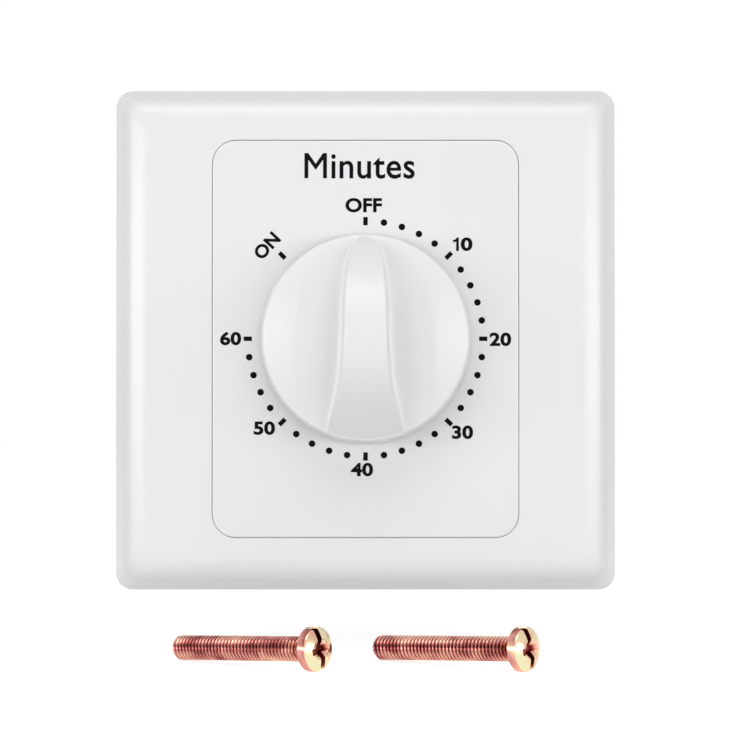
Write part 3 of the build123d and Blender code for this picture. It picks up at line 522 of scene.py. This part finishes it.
def scoop_half(up):
    """Half width out to the far edges of the scoops, never nearer than scoop_gap to the fin."""
    return np.maximum(smooth_curve(up, scoop_heights, scoop_halves), fin_half(up) + scoop_gap)


def knob_level(across, up):
    """Level of the knob's front: a shallow dome, cut in each scoop by a plane that slopes down evenly towards
    the fin, raised to the fin by the superellipse 1 - (1 - u^n)^(1/n), and a quarter circle on the fin's
    edge. The cut fades out at the rim with a power of the distance from the middle."""
    x = np.abs(across)
    half = fin_half(up)
    foot = scoop_half(up)
    dome = rim_level + dome_rise * (1 - (x**2 + up**2) / rim_radius**2)
    nose = np.sqrt(1 - (1 - np.clip((nose_end - up) / nose_length, 0, 1)) ** 2)
    fin = np.clip(1 - np.abs(up / rim_radius) ** fin_power, 0, 1)
    crest = dome + np.maximum(rim_level + fin_height * fin - dome, 0) * nose
    edge = np.clip((crest - dome) / 2, 0, np.minimum(fin_edge, half / 2))
    u = np.clip((foot - x) / (foot - half), 0, 1)
    rise = 1 - (1 - u**scoop_power) ** (1 / scoop_power)
    foot_level = rim_level + dome_rise * (1 - (foot**2 + up**2) / rim_radius**2)
    fade = np.clip(1 - (np.hypot(across, up) / rim_radius) ** rim_fade_power, 0, 1)
    cut = np.minimum(foot_level - scoop_slope * (foot - x) - dome, 0) * fade
    flank = dome + cut + (crest - edge - dome - cut) * rise
    into = np.clip(half - x, 0, None)
    rounding = np.sqrt(np.maximum(edge**2 - np.maximum(edge - into, 0) ** 2, 0))
    top = crest - edge + rounding
    return np.where(x < half, top, flank)


def disc_grid(radius, columns_at, up, level):
    """Grid over a disc: row by row up the disc, columns at the places that columns_at gives, held inside
    the circle, raised to level(across, up)."""
    reach = np.sqrt(np.maximum(radius**2 - up**2, 0))[:, None]
    across = np.clip(columns_at(up), -reach, reach)
    rise = up[:, None] + np.zeros_like(across)
    return np.stack([across, rise, level(across, rise)], -1)


def edge_loop(grid):
    """Outline of a disc grid: up its last column and down its first."""
    return np.concatenate([grid[:, -1], grid[-2:0:-1, 0]])


def knob_columns(up):
    """Column places for each row: the dome outside the scoop, the scoop, the fin's edge, and the fin."""
    half = fin_half(up)[:, None]
    foot = scoop_half(up)[:, None]
    out = foot + (rim_radius - foot) * np.linspace(1, 0, 14)[None, :-1]
    bent = np.sin(np.linspace(0, math.pi / 2, 30)) ** (2 / scoop_power)
    share = np.unique(np.round(np.concatenate([np.linspace(0, 1, 17), bent]), 5))[None, :]
    scoop = foot - (foot - half) * share
    edge_width = np.minimum(fin_edge, half / 2)
    edge = half - edge_width * (1 - np.cos(np.linspace(0, math.pi / 2, 7)[None, 1:]))
    fin = (half - edge_width) * np.linspace(1, 0, 10)[None, 1:]
    right = np.concatenate([out, scoop, edge, fin], 1)
    return np.concatenate([-right, right[:, -2::-1]], 1)


inner_radius = rim_radius - rim_edge
rows_up = -inner_radius * np.cos(np.linspace(0, math.pi, 181))
front = disc_grid(inner_radius, knob_columns, rows_up, knob_level)
loop = edge_loop(front)
loop_angle = np.arctan2(loop[:, 1], loop[:, 0])


def ring_of(radius, level):
    """Ring of points at the angles of the knob's outline: radius and level may differ at each angle."""
    radius = radius + np.zeros_like(loop_angle)
    return np.stack(
        [radius * np.cos(loop_angle), radius * np.sin(loop_angle), level + np.zeros_like(loop_angle)], -1
    )


below = loop[:, 2] - rim_edge
knee = rim_level - rim_edge - rim_drop
draft = (knob_radius - rim_radius) / (rim_level - knob_back)
bore = np.minimum(shaft_radius, flat_distance / np.maximum(np.cos(loop_angle), 0.01))
rings = [ring_of(inner_radius, loop[:, 2])]
rings += [
    ring_of(inner_radius + rim_edge * math.sin(a), loop[:, 2] - rim_edge * (1 - math.cos(a)))
    for a in np.linspace(0, math.pi / 2, 7)[1:]
]
rings += [ring_of(rim_radius, below + (knee - below) * s) for s in (0.5, 1.0)]
rings += [
    ring_of(rim_radius + draft * (knee - level), level)
    for level in np.linspace(knee, knob_back + foot_rise, 5)[1:]
]
rings += [
    ring_of(knob_radius - foot_inset, knob_back),
    ring_of(knob_radius - knob_wall, knob_back),
    ring_of(knob_radius - knob_wall - hollow_draft, knob_back + hollow_depth),
    ring_of(hub_radius, knob_back + hollow_depth),
    ring_of(hub_radius, knob_back),
    ring_of(bore, knob_back),
    ring_of(bore, knob_back + shaft_depth),
    ring_of(0.0, knob_back + shaft_depth),
]


def forward(grid):
    """From (across, up, level) in mm to metres in the shared frame."""
    return on_panel(grid[..., 0], grid[..., 1], grid[..., 2])


# glossy ABS of the knob: the same white as the plate, a touch softer where fingers turn it
handled_abs = moulding("handled_abs", "#EEEEF0", "#EAEAEC", grain=3.0, depth=0.004, rough=(0.3, 0.3))
knob_front = skin_of(forward(front), closed_columns=False)
knob_rest = skin_of(forward(np.stack(rings)))
piece("turning_knob", [knob_front, knob_rest], handled_abs, "knob_shaft", 75, ["knob"])

# Fixing screws: two M4 pan-head machine screws, steel, thread rolled, head with a slot and a cross,
# zinc-plated and passivated yellow. They lie loose below the plate, heads to the right and nearer.
thread_radius = 2.0
thread_pitch = 0.7
thread_depth = 0.38
crest_share = 0.1
flank_share = 0.8
run_out = 0.8
tip_chamfer = 0.25
tip_slope = 0.9
screw_length = 28.0
head_radius = 3.5
head_height = 2.5
head_dome = 0.8
head_inner = head_radius - 0.25
under_edge = 0.2
# rows round the head's edge in mm: inset, and how far below the edge and below the shoulder
edge_rows = ((0.0, 0.25, 0.15), (0.07, 0.1, 0.02))
neck = 0.6
slot_half = 0.48
recess_depth = 1.25
cross_reach = 2.1
cross_end = 0.5
cone_radius = 1.5
cone_depth = 1.4625
steep = 0.05
screw_turn = math.radians(38.3)
slot_lean = math.radians(12)
floor_level = -52.75
tip_front = 21.8
tip_across = -30.6
screw_spacing = 32.6
head_ball = (head_radius**2 + head_dome**2) / (2 * head_dome)


def head_level(across, up):
    """Top of the head: a spherical cap less the slot, the cross arm and the cone where they meet."""
    radius = np.hypot(across, up)
    cap = screw_length + head_height - head_ball + np.sqrt(head_ball**2 - radius**2)
    in_slot = np.clip((slot_half + steep - np.abs(across)) / steep, 0, 1)
    in_arm = np.clip((slot_half + steep - np.abs(up)) / steep, 0, 1)
    in_arm = in_arm * np.clip((cross_reach - np.abs(across)) / cross_end, 0, 1)
    cone = np.clip(1 - radius / cone_radius, 0, 1) * cone_depth
    return cap - np.maximum(np.maximum(in_slot, in_arm) * recess_depth, cone)


def head_columns(up):
    """Column places on the head: crowded at the walls of the slot."""
    places = (0, 0.2, slot_half, slot_half + steep, 0.7, 1.0, 1.3, 1.6, 1.85, cross_reach, 2.3, 2.7, 3.1, 3.6)
    right = np.array(places) + np.zeros((len(up), 1))
    return np.concatenate([-right[:, :0:-1], right], 1)


walls = np.array([0.2, slot_half, slot_half + steep])
even_rows = -head_inner * np.cos(np.linspace(0, math.pi, 41))
head_up = np.unique(np.round(np.concatenate([even_rows, walls, -walls, [-head_inner, head_inner]]), 5))
head_up[0], head_up[-1] = -head_inner, head_inner
head = disc_grid(head_inner, head_columns, head_up, head_level)
head_loop = edge_loop(head)
head_angle = np.arctan2(head_loop[:, 1], head_loop[:, 0])


def shank_radius(angle, along):
    """Radius of the thread: 60 degree grooves wound as a helix, phase = along / pitch - angle / turn,
    with a pointed tip and a plain neck under the head."""
    phase = np.mod(along / thread_pitch - angle / (2 * math.pi), 1.0)
    groove = np.clip((np.abs(2 * phase - 1) - crest_share) / flank_share, 0, 1)
    fade = np.clip((screw_length - neck - along) / run_out, 0, 1)
    radius = thread_radius - thread_depth * (groove * fade + (1 - fade))
    return np.minimum(radius, thread_radius - thread_depth - tip_chamfer + along * tip_slope)


def screw_ring(radius, along):
    """Ring of points round the screw's axis at the angles of its head's outline."""
    radius = radius + np.zeros_like(head_angle)
    return np.stack(
        [radius * np.cos(head_angle), radius * np.sin(head_angle), along + np.zeros_like(head_angle)], -1
    )


steps = np.linspace(0, screw_length - 0.05, 281)[:, None]
thread = shank_radius(head_angle[None, :], steps)
shank = np.stack(
    [thread * np.cos(head_angle), thread * np.sin(head_angle), steps + np.zeros_like(thread)], -1
)
head_edge = head_loop[:, 2]
head_shoulder = screw_length + head_height - head_dome
head_rows = [
    screw_ring(thread_radius - thread_depth, screw_length),
    screw_ring(head_radius - under_edge, screw_length),
    screw_ring(head_radius, screw_length + under_edge),
]
head_rows += [
    screw_ring(head_radius - inset, np.minimum(head_edge - below_edge, head_shoulder - below_shoulder))
    for inset, below_edge, below_shoulder in edge_rows
]
head_rows += [screw_ring(head_inner, head_edge)]
body = np.concatenate([screw_ring(0.0, 0.0)[None], shank, np.stack(head_rows)])
lean = math.asin((head_radius - thread_radius) / screw_length)
axis = np.array(
    [
        math.cos(lean) * math.cos(screw_turn),
        -math.cos(lean) * math.sin(screw_turn),
        math.sin(lean),
    ]
)
level_way = np.array([math.sin(screw_turn), math.cos(screw_turn), 0.0])
rise_way = np.cross(axis, level_way)
arm_way = level_way * math.cos(slot_lean) + rise_way * math.sin(slot_lean)
slot_way = rise_way * math.cos(slot_lean) - level_way * math.sin(slot_lean)


def lay(grid, number):
    """Carry a screw from its own axes (across, up, along) to its place on the floor, in metres."""
    tip = np.array(
        [
            tip_across + number * screw_spacing,
            -tip_front,
            floor_level + thread_radius * math.cos(lean),
        ]
    )
    return (tip + grid @ np.stack([arm_way, slot_way, axis])) * millimetre


# yellow-passivated zinc: a thin film on bright zinc that turns from pale gold to rose to dark copper
# as it gets thicker in the thread's grooves and the recess, with patches a few millimetres wide;
# the same ramp paints a darker band on the side of each shank that faces the camera: a painted reflection
passivated_zinc = bpy.data.materials.new("passivated_zinc")
passivated_zinc.use_nodes = True
zinc_shader = passivated_zinc.node_tree.nodes["Principled BSDF"]
zinc_place = add(passivated_zinc, "TexCoord").outputs["Object"]
patches = add(
    passivated_zinc,
    "TexNoise",
    {"Vector": zinc_place, "Scale": 1 / (3.6 * millimetre), "Detail": 2.0, "Distortion": 0.4},
)
wander = add(passivated_zinc, "MapRange", {"Value": patches.outputs[0], "To Min": -0.6, "To Max": 0.5})
# the film attribute holds the film's thickness plus the painted reflection band on the shanks
film_and_painted_reflection_attribute = add(passivated_zinc, "Attribute", attribute_name="film_and_painted_reflection")
film_and_painted_reflection = add(passivated_zinc, "Math", {0: film_and_painted_reflection_attribute.outputs["Fac"], 1: wander.outputs[0]}, operation="ADD")
ramp = add(passivated_zinc, "ValToRGB", {"Fac": film_and_painted_reflection.outputs[0]})
# colours along the film; the darker ones also paint the reflection band on the shanks
film_and_painted_reflection_colours = (
    (0.0, "#DCD6AE"),
    (0.12, "#E6CFAA"),
    (0.28, "#DFB796"),
    (0.45, "#D6968A"),
    (0.7, "#98524E"),
    (1.0, "#562422"),
)
for stop, stop_colour in film_and_painted_reflection_colours[1:-1]:
    ramp.color_ramp.elements.new(stop).color = linear(stop_colour)
ramp.color_ramp.elements[0].color = linear(film_and_painted_reflection_colours[0][1])
ramp.color_ramp.elements[-1].color = linear(film_and_painted_reflection_colours[-1][1])
smear = add(
    passivated_zinc, "TexNoise", {"Vector": zinc_place, "Scale": 1 / (0.6 * millimetre), "Detail": 2.0}
)
zinc_gloss = add(
    passivated_zinc, "MapRange", {"Value": smear.outputs[0], "To Min": 0.12, "To Max": 0.26}
)
zinc_bump = add(
    passivated_zinc, "Bump", {"Height": smear.outputs[0], "Distance": 0.006 * millimetre, "Strength": 1.0}
)
zinc_links = passivated_zinc.node_tree.links
zinc_links.new(ramp.outputs["Color"], zinc_shader.inputs["Base Color"])
zinc_links.new(zinc_gloss.outputs[0], zinc_shader.inputs["Roughness"])
zinc_links.new(zinc_bump.outputs[0], zinc_shader.inputs["Normal"])
zinc_shader.inputs["Metallic"].default_value = 1.0
screw_parts = []
for number in range(2):
    screw_parts += [skin_of(lay(body, number)), skin_of(lay(head, number), closed_columns=False)]
loose_screws = piece(
    "loose_screws", screw_parts, passivated_zinc, "housing", 40, ["fixing_screws"]
)


# thickness of the film from 0 to 1: on a crest of the thread, added in a groove, on the head, its side
# and its recess; a painted reflection adds darker film where the shank faces the camera (round a turn
# in radians and as wide as a spread)
crest_film = 0.34
groove_film = 0.6
painted_reflection_film = 0.28
painted_reflection_turn = 0.15
painted_reflection_spread = 0.5
head_film = 0.14
side_film = 0.55
recess_film = 0.75
# the second screw starts this far to the left of its tip, in mm
screw_gap = 4.0


def film_and_painted_reflection_on(points):
    """Thickness of the film: on the shank it grows from crest to groove, and a painted reflection adds a bell
    curve of darker film round the side that faces the camera; on the head it grows with the depth of the
    recess."""
    number = (points[:, 0] > tip_across + screw_spacing - screw_gap).astype(float)
    tip = np.array([tip_across, -tip_front, floor_level + thread_radius * math.cos(lean)])
    rest = points - tip - number[:, None] * np.array([screw_spacing, 0, 0])
    along = rest @ axis
    aside = rest - along[:, None] * axis
    out = np.linalg.norm(aside, axis=1)
    turn = np.arctan2(aside @ rise_way, -aside @ level_way)
    # painted reflection: a bell curve of darker film round the side of the shank that faces the camera
    painted_reflection = np.exp(-(((turn - painted_reflection_turn) / painted_reflection_spread) ** 2))
    groove = np.clip((thread_radius - out) / thread_depth, 0, 1)
    cap = screw_length + head_height - head_ball + np.sqrt(np.maximum(head_ball**2 - out**2, 0))
    recess = np.clip((cap - along) / recess_depth, 0, 1) * (out < head_inner - 0.01)
    on_head = np.where(out > head_radius - 0.05, side_film, head_film + recess_film * recess)
    on_shank = crest_film + groove_film * groove + painted_reflection_film * painted_reflection
    return np.where(along < screw_length - 0.02, on_shank, on_head)


co = np.empty(len(loose_screws.data.vertices) * 3)
loose_screws.data.vertices.foreach_get("co", co)
# film thickness with the painted reflection band, stored on each point
film_and_painted_reflection_values = loose_screws.data.attributes.new("film_and_painted_reflection", "FLOAT", "POINT")
film_and_painted_reflection_values.data.foreach_set("value", film_and_painted_reflection_on(co.reshape(-1, 3) / millimetre))

# Floor and light: a white table under the screws, level light all round, one broad soft box above
# the camera and one upright soft box on each side.
floor_half = 2.0
floor_glow = 0.66
ambient = 0.305


def seen(owner):
    """1 for rays from the camera, from a gloss or through glass, 0 for the rays that light the object."""
    path = add(owner, "LightPath").outputs
    rays = {0: path["Is Camera Ray"], 1: path["Is Glossy Ray"]}
    either = add(owner, "Math", rays, operation="MAXIMUM").outputs[0]
    return add(owner, "Math", {0: either, 1: path["Is Transmission Ray"]}, operation="MAXIMUM").outputs[0]


floor = bpy.data.meshes.new("floor")
floor_signs = ((-1, -1), (1, -1), (1, 1), (-1, 1))
floor_corners = [(x * floor_half, y * floor_half, floor_level * millimetre) for x, y in floor_signs]
floor.from_pydata(floor_corners, [], [(0, 1, 2, 3)])
table = bpy.data.objects.new("floor", floor)
bpy.context.scene.collection.objects.link(table)
paper = bpy.data.materials.new("white_paper")
paper.use_nodes = True
paper_shader = paper.node_tree.nodes["Principled BSDF"]
paper_shader.inputs["Base Color"].default_value = linear("#F0F0F0")
paper_shader.inputs["Roughness"].default_value = 0.9
paper_glow = add(paper, "MapRange", {"Value": seen(paper), "To Max": floor_glow})
paper_shader.inputs["Emission Color"].default_value = (1, 1, 1, 1)
paper.node_tree.links.new(paper_glow.outputs[0], paper_shader.inputs["Emission Strength"])
floor.materials.append(paper)

world = bpy.data.worlds.new("studio")
bpy.context.scene.world = world
world.use_nodes = True
sky_level = add(world, "MapRange", {"Value": seen(world), "To Min": ambient, "To Max": 1.0})
backdrop = world.node_tree.nodes["Background"]
backdrop.inputs["Color"].default_value = (1, 1, 1, 1)
world.node_tree.links.new(sky_level.outputs[0], backdrop.inputs["Strength"])


def soft_box(name, place, size, power):
    """Rectangular lamp aimed at the middle of the plate."""
    lamp = bpy.data.lights.new(name, "AREA")
    lamp.shape = "RECTANGLE"
    lamp.size, lamp.size_y = size
    lamp.energy = power
    box = bpy.data.objects.new(name, lamp)
    bpy.context.scene.collection.objects.link(box)
    box.location = place
    box.rotation_euler = (-Vector(place)).to_track_quat("-Z", "Y").to_euler()


soft_box("top_box", (0.0, -0.55, 0.75), (0.9, 0.5), 2.9)
soft_box("left_box", (-0.73, -0.68, 0.02), (1.1, 0.3), 4.3)
soft_box("right_box", (0.7, -0.73, -0.02), (1.2, 0.3), 5.2)

bpy.context.scene.view_settings.view_transform = "Standard"
